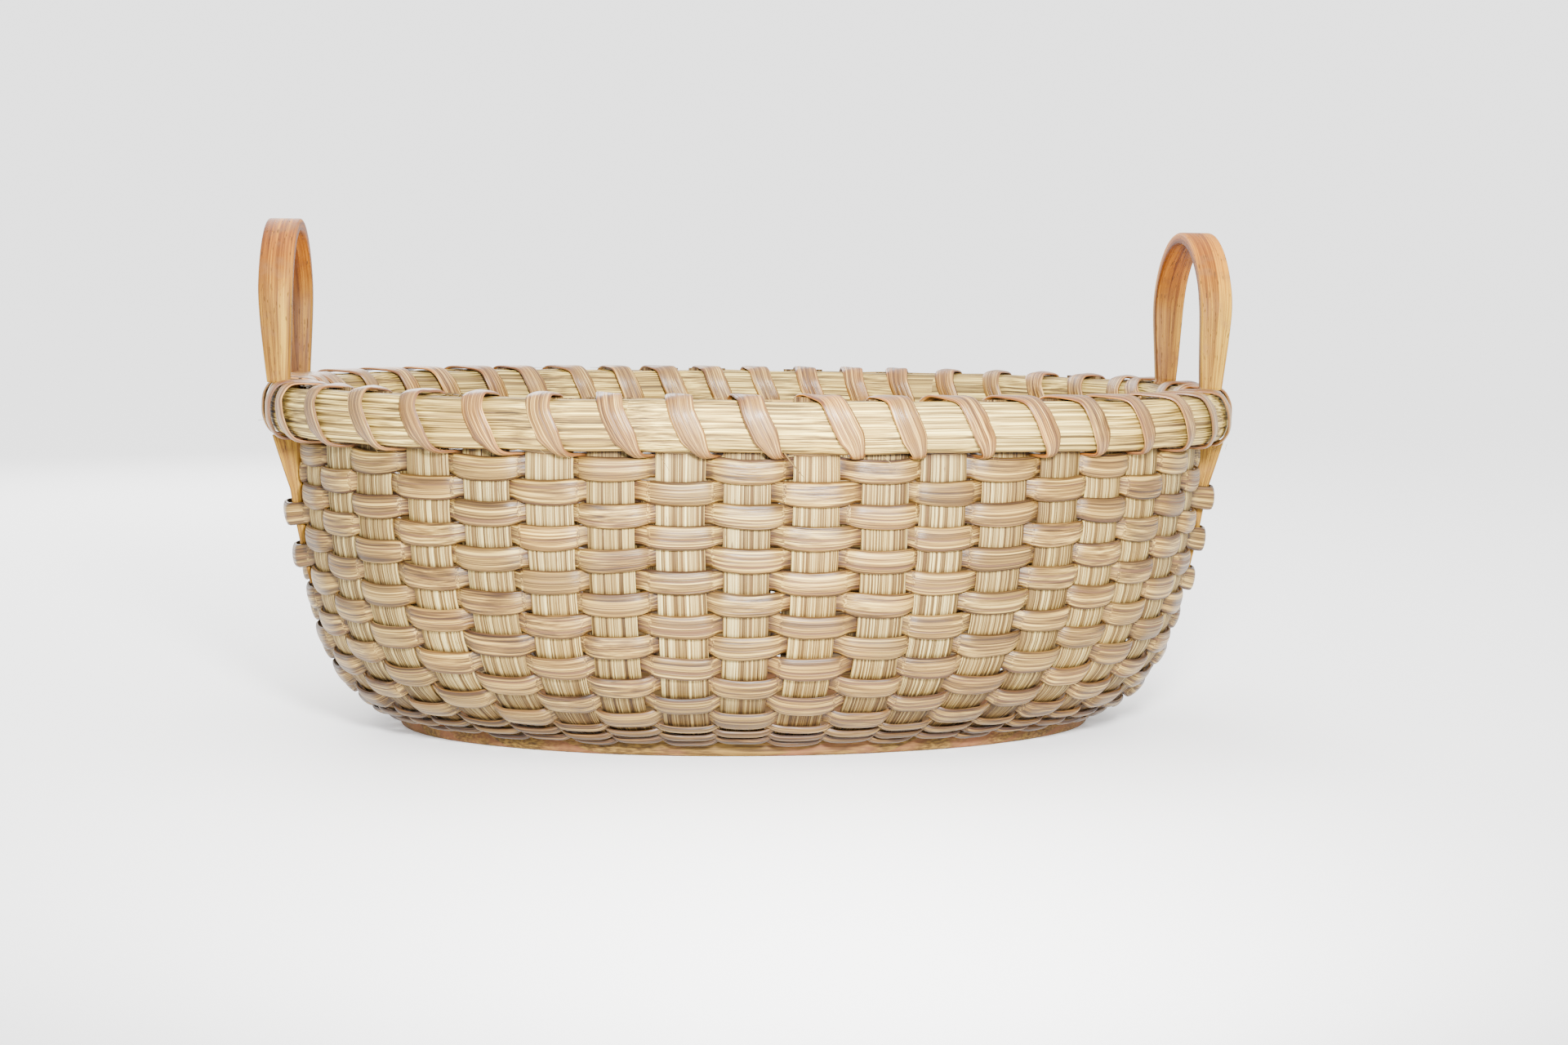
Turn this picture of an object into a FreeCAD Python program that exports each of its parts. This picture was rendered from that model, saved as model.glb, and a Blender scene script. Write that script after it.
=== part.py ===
import FreeCAD, Part
import functools
import math
import os

import Sketcher
from FreeCAD import Vector

# An oval reed basket: a solid wooden board with a slot round its edge, flat stakes that stand in
# the slot, rows of flat-oval reed woven through them, two half-round rims lashed over the stakes'
# cut ends, and a bent, notched handle at each end. Everything is in millimetres, +Z is up, and the
# origin is under the middle of the board, on the surface that the basket stands on. X runs from
# handle to handle.

SIZES = (
    ("board_length", 420.0),
    ("board_width", 206.0),
    ("board_thickness", 16.0),
    ("board_edge_round", 2.5),
    ("slot_lip", 9.6),  # wood left under the slot
    ("slot_height", 2.6),
    ("slot_depth", 12.0),
    ("stake_count", 44.0),  # an even number, so that every row closes on itself
    ("stake_width", 25.4),
    ("stake_thickness", 1.6),
    ("stake_gap", 5.5),  # least gap between two stakes: they are pared narrower where they crowd
    ("stake_inset", 10.0),  # how far a stake reaches into the slot
    ("foot_reach", 3.0),  # how far a stake runs straight out of the slot
    ("wall_flare", 60.0),  # how far the wall stands outside the board's sides at the rims
    ("end_flare", 55.5),  # the same at the board's ends
    ("foot_run", 30.0),  # the wall leaves the board towards a point this much further out
    ("foot_rise", 8.0),  # and this much higher
    ("side_tuck", 5.5),  # how much closer the long sides keep to the board where they start to rise
    ("tuck_run", 75.0),  # how far up a stake that reaches
    ("upright_pull", 126.0),  # how early the wall becomes upright
    ("plan_exponent", 2.5),  # 2 is an ellipse, and more is squarer; the board itself is an ellipse
    ("rim_underside", 178.0),
    ("rim_height", 28.0),
    ("outer_rim_thickness", 8.6),
    ("inner_rim_thickness", 8.0),
    ("rim_end_room", 10.4),  # from the stakes' middle to the outer rim at the basket's ends
    ("rim_side_room", 2.4),  # the same along its sides, and all round for the inner rim
    ("locking_rows", 5.0),
    ("locking_width", 4.6),
    ("locking_thickness", 2.0),
    ("weaver_rows", 13.0),
    ("weaver_thickness", 2.8),
    ("row_gap", 0.5),
    ("first_row", 2.0),  # from the start of the bend to the first row's lower edge
    ("rim_row_width", 18.0),
    ("rim_row_thickness", 1.2),
    ("lashing_width", 13.6),
    ("lashing_neck", 5.0),  # its width where it is pulled through the wall
    ("lashing_thickness", 1.8),
    ("handle_rise", 94.0),  # from the rims' top to the bow's top
    ("handle_strip", 19.0),
    ("right_overhang", 10.0),  # how far this strip reaches in over the wall, above the rims
    ("left_overhang", -2.6),  # below 0 it stands out from the wall
    ("handle_thickness", 7.0),
    ("handle_edge_round", 1.6),
    ("tongue", 7.0),  # what the notch leaves of the strip behind the outer rim
    ("shoulder", 16.5),  # the strip's depth straight under the outer rim
    ("tail_neck", 7.2),  # its depth where the first weaver catches it
    ("tail_neck_drop", 32.0),  # how far below the rims that is
    ("tail_tip", 1.8),
    ("tail_length", 86.0),  # from the rims down to the tip
    ("play", 0.25),  # clearance between pieces that lie against each other
)

doc = FreeCAD.newDocument("wicker_basket")
sheet = doc.addObject("Spreadsheet::Sheet", "sizes")


def write_cells(rows, first):
    for number, (name, value) in enumerate(rows, first):
        sheet.set(f"A{number}", name)
        sheet.set(f"B{number}", str(value))
        sheet.setAlias(f"B{number}", name)
    doc.recompute()


write_cells(SIZES, 1)


def size(name):
    return float(getattr(sheet, name))


write_cells(
    (
        ("rim_top", size("rim_underside") + size("rim_height")),
        ("tail_neck_height", size("rim_underside") - size("tail_neck_drop")),
        ("tail_end_height", size("rim_underside") - size("tail_length")),
    ),
    len(SIZES) + 2,
)

STAKES = int(size("stake_count"))
HALF_STAKE = size("stake_thickness") / 2
PLAY = size("play")
RIM_TOP = size("rim_top")
STAKE_TOP = RIM_TOP - 2 * PLAY
SLOT_MIDDLE = size("slot_lip") + size("slot_height") / 2
LENGTHWISE = size("board_length") / 2
CROSSWISE = size("board_width") / 2
END_SHARE = size("end_flare") / size("wall_flare")


# ---- the wall's shape ----


def oval(angle, end_offset, side_offset=None):
    """A point of the oval that stands this far outside the board at its ends and its sides."""
    side_offset = end_offset if side_offset is None else side_offset
    share = min(max(side_offset / size("wall_flare"), 0.0), 1.0)
    power = 2.0 + (size("plan_exponent") - 2.0) * share
    c, s = math.cos(angle), math.sin(angle)
    reach = (abs(c) ** power + abs(s) ** power) ** (-1.0 / power)
    return Vector((LENGTHWISE + end_offset) * c * reach, (CROSSWISE + side_offset) * s * reach, 0)


def bend_curve():
    """The curve in (offset, height) by which a stake turns from flat to upright."""
    curve = Part.BezierCurve()
    reach, flare, top = size("foot_reach"), size("wall_flare"), size("rim_underside")
    curve.setPoles(
        [
            Vector(reach, SLOT_MIDDLE, 0),
            Vector(reach + size("foot_run"), SLOT_MIDDLE + size("foot_rise"), 0),
            Vector(flare, top - size("upright_pull"), 0),
            Vector(flare, top, 0),
        ]
    )
    return curve


BEND = bend_curve()
BEND_LENGTH = BEND.length()


@functools.lru_cache(maxsize=None)
def stake_path(distance):
    """Offset from the board's edge and height, at a distance along a stake from where it bends."""
    if distance < 0:
        return size("foot_reach") + distance, SLOT_MIDDLE
    if distance > BEND_LENGTH:
        return size("wall_flare"), size("rim_underside") + distance - BEND_LENGTH
    point = BEND.value(BEND.parameterAtDistance(distance, 0.0))
    return point.x, point.y


def wall_point(angle, distance):
    offset, height = stake_path(distance)
    rise = min(max(distance / size("tuck_run"), 0.0), 1.0)
    tuck = size("side_tuck") * math.sin(math.pi * rise**0.7) ** 2
    point = oval(angle, offset * END_SHARE, offset - tuck)
    point.z = height
    return point


def wall_frame(angle, distance):
    """The wall's middle surface: the point, its directions round and up the wall, and outward."""
    step, small = 0.05, 1e-4
    point = wall_point(angle, distance)
    around = wall_point(angle + small, distance) - wall_point(angle - small, distance)
    up = wall_point(angle, distance + step) - wall_point(angle, distance - step)
    speed = around.Length / (2 * small)
    around.normalize()
    up.normalize()
    out = around.cross(up).normalize()
    return point, around, up, out, speed


def even_angles(count):
    """Angles that divide the wall's top into equal lengths, half a step off the X axis."""
    fine = 7200
    flares = size("end_flare"), size("wall_flare")
    points = [oval(2 * math.pi * k / fine, *flares) for k in range(fine + 1)]
    run = [0.0]
    for a, b in zip(points, points[1:]):
        run.append(run[-1] + (b - a).Length)
    angles, k = [], 0
    for i in range(count):
        goal = run[-1] * (i + 0.5) / count
        while run[k + 1] < goal:
            k += 1
        share = (goal - run[k]) / (run[k + 1] - run[k])
        angles.append(2 * math.pi * (k + share) / fine)
    return angles


ANGLES = even_angles(STAKES)


def stake_angle(i):
    return ANGLES[i % STAKES] + 2 * math.pi * (i // STAKES)


def gap_angle(i):
    """Midway between stake i and the next one."""
    return (stake_angle(i) + stake_angle(i + 1)) / 2


def stake_width(i, distance):
    speed = wall_frame(stake_angle(i), distance)[4]
    room = speed * (gap_angle(i) - gap_angle(i - 1))
    return min(size("stake_width"), room - size("stake_gap"))


# The handles' tails lie on these stakes: the second ones from the X axis, at each end.
TAIL_STAKES = (1, STAKES // 2 - 2, STAKES // 2 + 1, STAKES - 2)


def along(pairs, x):
    """Reads a broken line, given as (x, y) pairs with x falling."""
    for (x0, y0), (x1, y1) in zip(pairs, pairs[1:]):
        if x >= x1:
            return y0 + (y1 - y0) * (min(x, x0) - x0) / (x1 - x0)
    return 0.0


TAIL_DEPTHS = (
    (size("rim_underside"), size("shoulder")),
    (size("tail_neck_height"), size("tail_neck")),
    (size("tail_end_height"), size("tail_tip")),
)


# ---- solids along the wall ----


def rail_curves(rails, closed):
    """A smooth edge through each row of points."""
    steps = [float(k) for k in range(len(rails[0]) + closed)]
    edges = []
    for points in rails:
        curve = Part.BSplineCurve()
        curve.interpolate(Points=points, PeriodicFlag=closed, Parameters=steps)
        edges.append(curve.toShape())
    return edges


def ruled_face(a, b):
    """The face between two edges that run the same way."""
    same_way = 1
    return Part.makeRuledSurface(a, b, same_way)


def sewn_solid(faces):
    shell = Part.makeShell(faces)
    shell.sewShape()
    solid = Part.makeSolid(shell)
    if solid.Volume < 0:
        solid.reverse()
    return solid


def closed_band(rails):
    """A ring whose cross-section has one corner on each of these closed rows of points."""
    edges = rail_curves(rails, True)
    return sewn_solid([ruled_face(a, b) for a, b in zip(edges, edges[1:] + edges[:1])])


def open_strip(rails):
    """A strip with two ends. Its rails run round the cross-section, outside face then inside."""
    edges = rail_curves(rails, False)
    faces = [ruled_face(a, b) for a, b in zip(edges, edges[1:] + edges[:1])]
    half = len(rails) // 2
    for end in (0, -1):
        corners = [rail[end] for rail in rails]
        outside, inside = corners[:half], corners[half:][::-1]
        for k in range(half - 1):
            lines = [Part.makeLine(row[k], row[k + 1]) for row in (outside, inside)]
            faces.append(ruled_face(*lines))
    return sewn_solid(faces)


# Corners of a strip's cross-section, as shares of its width (up the wall) and thickness (outward).
FLAT_OVAL = ((-0.5, -0.5), (0.5, -0.5), (0.5, 0.0), (0.27, 0.5), (-0.27, 0.5), (-0.5, 0.0))
FLAT = ((-0.5, -0.5), (0.5, -0.5), (0.5, 0.5), (-0.5, 0.5))


def add_feature(label, shape):
    feature = doc.addObject("Part::Feature", label)
    feature.Label = label
    feature.Shape = shape
    return feature


def make_stake(i):
    """One stake, following the wall from inside the slot to between the rims."""
    middle = stake_angle(i)
    stops = [-size("foot_reach") - size("stake_inset"), -size("foot_reach"), 0.0]
    stops += [BEND_LENGTH * share for share in (0.07, 0.14, 0.22, 0.32, 0.45, 0.6, 0.8, 1.0)]
    stops += [BEND_LENGTH + STAKE_TOP - size("rim_underside")]
    rails = [[] for _ in range(6)]
    for distance in stops:
        speed = wall_frame(middle, distance)[4]
        reach = stake_width(i, distance) / 2 / speed
        turns = (-reach, 0.0, reach, reach, 0.0, -reach)
        for k, (rail, turn) in enumerate(zip(rails, turns)):
            point, around, up, out, _ = wall_frame(middle + turn, distance)
            rail.append(point + out * (HALF_STAKE if k < 3 else -HALF_STAKE))
    return open_strip(rails)


def weave(number, distance, width, thickness, section, over_tails=True):
    """A row woven over one stake and under the next. Odd rows start over, even rows under."""
    height = stake_path(distance)[1]
    tail = along(TAIL_DEPTHS, height) if height > size("tail_end_height") else 0.0
    caught = over_tails and height < size("tail_neck_height")
    lift = HALF_STAKE + thickness / 2 + PLAY / 5
    rails = [[] for _ in section]

    def place(angle, shift):
        point, around, up, out, speed = wall_frame(angle, distance)
        for rail, (across, outward) in zip(rails, section):
            rail.append(point + up * (across * width) + out * (outward * thickness + shift))

    def offset(i):
        over = (i + number) % 2 == 0
        if i % STAKES in TAIL_STAKES and tail:
            return lift + tail + 4 * PLAY if over and caught else -lift
        return lift if over else -lift

    for i in range(STAKES):
        middle = stake_angle(i)
        speed = wall_frame(middle, distance)[4]
        reach = (stake_width(i, distance) / 2 + PLAY) / speed
        for turn in (-reach, 0.0, reach):
            place(middle + turn, offset(i))
        place(gap_angle(i), (offset(i) + offset(i + 1)) / 2)
    return closed_band(rails)


# ---- the rims and their lashing ----


def rim_oval(angle, room_at_ends, room_at_sides):
    return oval(angle, size("end_flare") + room_at_ends, size("wall_flare") + room_at_sides)


OUTER_FACE = (
    size("rim_end_room") + size("outer_rim_thickness"),
    size("rim_side_room") + size("outer_rim_thickness"),
)
INNER_FACE = -size("rim_side_room") - size("inner_rim_thickness")
RIM_STEPS = 4 * STAKES


def make_rim(back_ends, back_sides, thickness):
    """A half-round hoop: its flat back stands at these offsets and its round face points away."""
    low, high = size("rim_underside"), RIM_TOP
    heights = (0.0, 1.0, 0.93, 0.72, 0.5, 0.28, 0.07)
    swells = (0.0, 0.0, 0.5, 0.9, 1.0, 0.9, 0.5)
    rails = []
    for share, swell in zip(heights, swells):
        rail = []
        for k in range(RIM_STEPS):
            angle = 2 * math.pi * k / RIM_STEPS
            reach = swell * thickness
            point = rim_oval(angle, back_ends + reach, back_sides + reach)
            point.z = low + (high - low) * share
            rail.append(point)
        rails.append(rail)
    return closed_band(rails)


# One turn of the lashing: how far it has run from one stake to the next, where it is between the
# inner rim's face (0) and the outer rim's (1), its height from the rims' underside (0) to their top
# (1), and the way it faces, outward and up. It goes down outside, through the wall in the gap
# between two stakes, and up inside.
LASHING_TURN = (
    (0.00, 0.50, 1.00, 0.0, 1.0),
    (0.08, 0.86, 0.97, 0.6, 0.8),
    (0.16, 1.00, 0.74, 1.0, 0.2),
    (0.27, 1.00, 0.50, 1.0, 0.0),
    (0.37, 1.00, 0.26, 1.0, -0.2),
    (0.45, 0.84, 0.03, 0.6, -0.8),
    (0.50, 0.50, -0.01, 0.0, -1.0),
    (0.55, 0.16, 0.03, -0.6, -0.8),
    (0.63, 0.00, 0.26, -1.0, -0.2),
    (0.73, 0.00, 0.50, -1.0, 0.0),
    (0.84, 0.00, 0.74, -1.0, 0.2),
    (0.92, 0.14, 0.97, -0.6, 0.8),
)
# Beside a handle the lashing crosses the rims later, past the handle's leg.
LASHING_DELAY = (0.42, 0.38, 0.32, 0.23, 0.15, 0.09, 0.06, 0.04, 0.04, 0.12, 0.30, 0.44)


def lashing_angle(i, run):
    """The angle reached after a run of 0 to 1 from stake i to the next."""
    return stake_angle(i) + (stake_angle(i + 1) - stake_angle(i)) * run


def make_lashing():
    low, rise = size("rim_underside"), size("rim_height")
    thick = size("lashing_thickness")
    corners = ((-0.5, 0.0), (0.5, 0.0), (0.5, 1.0), (-0.5, 1.0))
    rails = [[] for _ in corners]
    for i in range(STAKES):
        for (run, across, share, outward, upward), delay in zip(LASHING_TURN, LASHING_DELAY):
            beside = i if run < 0.5 else i + 1
            if beside % STAKES in TAIL_STAKES:
                run += delay
            angle = lashing_angle(i, run)
            inside = rim_oval(angle, INNER_FACE, INNER_FACE)
            outside = rim_oval(angle, *OUTER_FACE)
            facing = outside - inside
            facing.normalize()
            around = Vector(-facing.y, facing.x, 0)
            out = (facing * outward + Vector(0, 0, upward)).normalize()
            point = inside + (outside - inside) * across
            point.z = low + rise * share
            neck = 1.0 - min(abs(share) * 4, 1.0)
            width = size("lashing_width") * (1 - neck) + size("lashing_neck") * neck
            for rail, (sideways, outer) in zip(rails, corners):
                rail.append(point + around * (sideways * width) + out * (PLAY + outer * thick))
    return closed_band(rails)


# ---- the board ----


def by_role(body, role):
    return next(f for f in body.Origin.OriginFeatures if f.Role == role)


def new_sketch(body, name, plane):
    sketch = body.newObject("Sketcher::SketchObject", name)
    sketch.AttachmentSupport = (by_role(body, plane), [""])
    sketch.MapMode = "FlatFace"
    return sketch


def add_ellipse(sketch, name, length, width):
    """An ellipse about the origin. length and width are expressions for its two axes."""
    values = [reading(text) for text in (length, width)]
    ellipse = sketch.addGeometry(
        Part.Ellipse(Vector(0, 0, 0), values[0] / 2, values[1] / 2), False
    )
    sketch.exposeInternalGeometry(ellipse)
    major, minor = ellipse + 1, ellipse + 2
    sketch.addConstraint(Sketcher.Constraint("Coincident", ellipse, 3, -1, 1))
    sketch.addConstraint(Sketcher.Constraint("Horizontal", major))
    for part, line, text, value in (
        ("length", major, length, values[0]),
        ("width", minor, width, values[1]),
    ):
        index = sketch.addConstraint(Sketcher.Constraint("Distance", line, value))
        sketch.renameConstraint(index, f"{name}_{part}")
        sketch.setExpression(f"Constraints.{name}_{part}", text)


def reading(text):
    return float(sheet.evalExpression(text.replace("sizes.", "")))


def make_board():
    """The board, with its slot cut all round the edge and its two edges eased."""
    body = doc.addObject("PartDesign::Body", "base_board")
    body.Label = "base_board"
    outline = new_sketch(body, "board_outline", "XY_Plane")
    add_ellipse(outline, "board", "sizes.board_length", "sizes.board_width")
    pad = body.newObject("PartDesign::Pad", "board_pad")
    pad.Profile = outline
    pad.setExpression("Length", "sizes.board_thickness")
    doc.recompute()
    ring = new_sketch(body, "slot_ring", "XY_Plane")
    ring.setExpression("AttachmentOffset.Base.z", "sizes.slot_lip")
    add_ellipse(
        ring, "past", "sizes.board_length + sizes.slot_depth", "sizes.board_width + sizes.slot_depth"
    )
    add_ellipse(
        ring,
        "floor",
        "sizes.board_length - 2 * sizes.slot_depth",
        "sizes.board_width - 2 * sizes.slot_depth",
    )
    slot = body.newObject("PartDesign::Pocket", "slot")
    slot.Profile = ring
    slot.setExpression("Length", "sizes.slot_height")
    slot.Reversed = True
    doc.recompute()
    rims = [
        f"Edge{number}"
        for number, edge in enumerate(slot.Shape.Edges, 1)
        if edge.isClosed()
        and min(abs(edge.BoundBox.ZMin), abs(edge.BoundBox.ZMin - size("board_thickness"))) < 1e-6
        and edge.BoundBox.ZLength < 1e-6
    ]
    ease = body.newObject("PartDesign::Fillet", "eased_edges")
    ease.Base = (slot, rims)
    ease.setExpression("Radius", "sizes.board_edge_round")
    doc.recompute()
    return body


# ---- the handles ----


def tail_inner(height):
    """How far out the inside edge of a handle's leg stands, to clear the stake behind it."""
    distance = 0.0
    for _ in range(40):
        distance += height - stake_path(distance)[1]
    middle = stake_angle(TAIL_STAKES[0])
    speed = wall_frame(middle, distance)[4]
    half = size("handle_thickness") / 2 / speed
    reach = [wall_frame(middle + turn, distance) for turn in (-half, 0.0, half)]
    return max((f[0] + f[3] * HALF_STAKE).x for f in reach) + PLAY


def polygon(sketch, corners):
    """A closed outline. Each corner is ((x cell, height cell), ...), held by its own dimensions."""
    places = [Vector(reading(x), reading(y), 0) for x, y in corners]
    first = sketch.GeometryCount
    count = len(corners)
    for a, b in zip(places, places[1:] + places[:1]):
        sketch.addGeometry(Part.LineSegment(a, b), False)
    for k in range(count):
        following = first + (k + 1) % count
        sketch.addConstraint(Sketcher.Constraint("Coincident", first + k, 2, following, 1))
    for k, (texts, place) in enumerate(zip(corners, places)):
        for kind, text, value in zip(("DistanceX", "DistanceY"), texts, (place.x, place.y)):
            index = sketch.addConstraint(
                Sketcher.Constraint(kind, -1, 1, first + k, 1, value)
            )
            name = f"{kind}_{first + k}"
            sketch.renameConstraint(index, name)
            sketch.setExpression(f"Constraints.{name}", text)


def bow(sketch, name, radius):
    """Half of the bent strip's side view: an arc over two straight legs, as open geometry."""
    middle, foot = reading("sizes.bow_centre"), reading("sizes.tail_end_height")
    reach = reading(radius)
    arc = sketch.addGeometry(
        Part.ArcOfCircle(Part.Circle(Vector(0, middle, 0), Vector(0, 0, 1), reach), 0, math.pi),
        False,
    )
    right = sketch.addGeometry(
        Part.LineSegment(Vector(reach, middle, 0), Vector(reach, foot, 0)), False
    )
    left = sketch.addGeometry(
        Part.LineSegment(Vector(-reach, middle, 0), Vector(-reach, foot, 0)), False
    )
    sketch.addConstraint(Sketcher.Constraint("Tangent", arc, 1, right, 1))
    sketch.addConstraint(Sketcher.Constraint("Tangent", arc, 2, left, 1))
    sketch.addConstraint(Sketcher.Constraint("Vertical", right))
    sketch.addConstraint(Sketcher.Constraint("Equal", right, left))
    sketch.addConstraint(Sketcher.Constraint("PointOnObject", arc, 3, -2))
    for kind, name_end, text, constraint in (
        ("radius", "radius", radius, ("Radius", arc, reach)),
        ("centre", "centre", "sizes.bow_centre", ("DistanceY", -1, 1, arc, 3, middle)),
        ("foot", "foot", "sizes.tail_end_height", ("DistanceY", -1, 1, right, 2, foot)),
    ):
        index = sketch.addConstraint(Sketcher.Constraint(*constraint))
        sketch.renameConstraint(index, f"{name}_{name_end}")
        sketch.setExpression(f"Constraints.{name}_{name_end}", text)
    return arc, right, left


def make_handle(label, turn, overhang):
    """A bent strip: a bow over two legs, notched for the outer rim and pared to two tails."""
    body = doc.addObject("PartDesign::Body", label)
    body.Label = label
    strip_inner = f"sizes.leg_inner - sizes.{overhang}"
    strip_outer = f"{strip_inner} + sizes.handle_strip"
    side = new_sketch(body, label + "_bow", "YZ_Plane")
    near, far = (f"sizes.leg_inner {sign} 2 * sizes.handle_strip" for sign in "-+")
    side.setExpression("AttachmentOffset.Base.z", near)
    outer = bow(side, "outer", "sizes.leg_middle + sizes.handle_thickness / 2")
    inner = bow(side, "inner", "sizes.leg_middle - sizes.handle_thickness / 2")
    for out_leg, in_leg in ((outer[1], inner[1]), (outer[2], inner[2])):
        ends = [side.getPoint(leg, 2) for leg in (out_leg, in_leg)]
        close = side.addGeometry(Part.LineSegment(*ends), False)
        side.addConstraint(Sketcher.Constraint("Coincident", close, 1, out_leg, 2))
        side.addConstraint(Sketcher.Constraint("Coincident", close, 2, in_leg, 2))
    pad = body.newObject("PartDesign::Pad", label + "_strip")
    pad.Profile = side
    pad.setExpression("Length", "4 * sizes.handle_strip")
    doc.recompute()
    waste = new_sketch(body, label + "_waste", "XZ_Plane")
    under, over = "sizes.rim_underside - sizes.play", "sizes.rim_top + sizes.play"
    below, above = "sizes.tail_end_height - 1", "sizes.handle_top + 1"
    polygon(
        waste,
        (
            (far, above),
            (strip_outer, above),
            (strip_outer, over),
            ("sizes.leg_inner + sizes.tongue", over),
            ("sizes.leg_inner + sizes.tongue", under),
            ("sizes.leg_inner + sizes.shoulder", under),
            ("sizes.tail_neck_inner + sizes.tail_neck", "sizes.tail_neck_height"),
            ("sizes.tail_tip_inner + sizes.tail_tip", below),
            (far, below),
        ),
    )
    polygon(
        waste,
        (
            (near, above),
            (strip_inner, above),
            (strip_inner, over),
            ("sizes.leg_inner", over),
            ("sizes.leg_inner", under),
            ("sizes.tail_neck_inner", "sizes.tail_neck_height"),
            ("sizes.tail_tip_inner", below),
            (near, below),
        ),
    )
    cut = body.newObject("PartDesign::Pocket", label + "_paring")
    cut.Profile = waste
    cut.Type = "ThroughAll"
    cut.Midplane = True
    doc.recompute()
    arcs = [
        f"Edge{number}"
        for number, edge in enumerate(cut.Shape.Edges, 1)
        if isinstance(edge.Curve, Part.Circle) and edge.BoundBox.ZMax > size("bow_centre")
    ]
    ease = body.newObject("PartDesign::Fillet", label + "_eased")
    ease.Base = (cut, arcs)
    ease.setExpression("Radius", "sizes.handle_edge_round")
    doc.recompute()
    body.Placement = FreeCAD.Placement(Vector(), FreeCAD.Rotation(Vector(0, 0, 1), turn))
    return body


# ---- the basket ----

leg_middle = wall_point(stake_angle(TAIL_STAKES[0]), BEND_LENGTH).y
write_cells(
    (
        ("leg_middle", leg_middle),
        ("leg_inner", tail_inner(size("rim_underside"))),
        ("tail_neck_inner", tail_inner(size("tail_neck_height"))),
        ("tail_tip_inner", tail_inner(size("tail_end_height"))),
        ("handle_top", RIM_TOP + size("handle_rise")),
        ("bow_centre", RIM_TOP + size("handle_rise") - leg_middle - size("handle_thickness") / 2),
    ),
    len(SIZES) + 6,
)

parts = [make_board()]

for i in range(STAKES // 2):
    pair = Part.makeCompound([make_stake(i), make_stake(i + STAKES // 2)])
    parts.append(add_feature(f"stake_pair_{i + 1:02d}", pair))

row_number = 0
row_start = size("first_row")
for row in range(int(size("locking_rows"))):
    row_number += 1
    middle = row_start + size("locking_width") / 2
    shape = weave(
        row_number, middle, size("locking_width"), size("locking_thickness"), FLAT_OVAL
    )
    parts.append(add_feature(f"locking_row_{row + 1}", shape))
    row_start += size("locking_width") + size("row_gap")

ROWS = int(size("weaver_rows"))
LASHING_ROOM = size("lashing_thickness") + 3 * PLAY
row_pitch = (BEND_LENGTH - LASHING_ROOM - row_start) / ROWS
weaver_width = row_pitch - size("row_gap")
for row in range(ROWS):
    row_number += 1
    middle = row_start + row_pitch * (row + 0.5)
    shape = weave(row_number, middle, weaver_width, size("weaver_thickness"), FLAT_OVAL)
    parts.append(add_feature(f"weaver_row_{row + 1:02d}", shape))

rim_row_middle = BEND_LENGTH + 2 * PLAY + size("rim_row_width") / 2
parts.append(
    add_feature(
        "rim_row",
        weave(
            row_number + 1,
            rim_row_middle,
            size("rim_row_width"),
            size("rim_row_thickness"),
            FLAT,
            over_tails=False,
        ),
    )
)
outer_back = (size("rim_end_room"), size("rim_side_room"))
inner_back = (-size("rim_side_room"), -size("rim_side_room"))
parts.append(add_feature("outer_rim", make_rim(*outer_back, size("outer_rim_thickness"))))
parts.append(add_feature("inner_rim", make_rim(*inner_back, -size("inner_rim_thickness"))))
parts.append(add_feature("rim_lashing", make_lashing()))
parts.append(make_handle("right_handle", 0, "right_overhang"))
parts.append(make_handle("left_handle", 180, "left_overhang"))

doc.recompute()
for item in doc.Objects:
    if "Invalid" in item.State or "Error" in item.State:
        raise RuntimeError(f"{item.Label} failed: {item.State}")
os.makedirs("parts", exist_ok=True)
for part in parts:
    shape = part.Shape
    if shape.isNull() or not shape.isValid() or shape.Volume <= 0:
        raise RuntimeError(f"{part.Label} has no valid solid")
    shape.exportStep(f"parts/{part.Label}.step")
    print(f"{part.Label}: {len(shape.Solids)} solid(s), {shape.Volume / 1000:.1f} cm3")
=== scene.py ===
import math

import bpy
import numpy as np
from mathutils import Matrix, Vector


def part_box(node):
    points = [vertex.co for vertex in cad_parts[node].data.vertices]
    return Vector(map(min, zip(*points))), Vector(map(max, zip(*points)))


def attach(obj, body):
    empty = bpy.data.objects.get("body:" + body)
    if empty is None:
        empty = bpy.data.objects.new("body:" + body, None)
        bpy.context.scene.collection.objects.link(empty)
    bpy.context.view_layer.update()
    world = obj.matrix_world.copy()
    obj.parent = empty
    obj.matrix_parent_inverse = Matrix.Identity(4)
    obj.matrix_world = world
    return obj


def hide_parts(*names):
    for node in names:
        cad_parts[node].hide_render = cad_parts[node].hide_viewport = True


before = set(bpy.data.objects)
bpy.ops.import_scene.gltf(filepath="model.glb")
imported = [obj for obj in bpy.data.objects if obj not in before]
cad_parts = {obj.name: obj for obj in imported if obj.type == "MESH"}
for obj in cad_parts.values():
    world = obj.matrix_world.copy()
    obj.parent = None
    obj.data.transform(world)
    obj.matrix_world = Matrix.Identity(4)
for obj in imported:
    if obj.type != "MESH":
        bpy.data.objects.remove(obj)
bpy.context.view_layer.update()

print("frame loaded:", len(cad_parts), "nodes")

# the oval wall: every piece is placed on it

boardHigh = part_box("base_board")[1]
rimLow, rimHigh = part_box("outer_rim")

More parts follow.
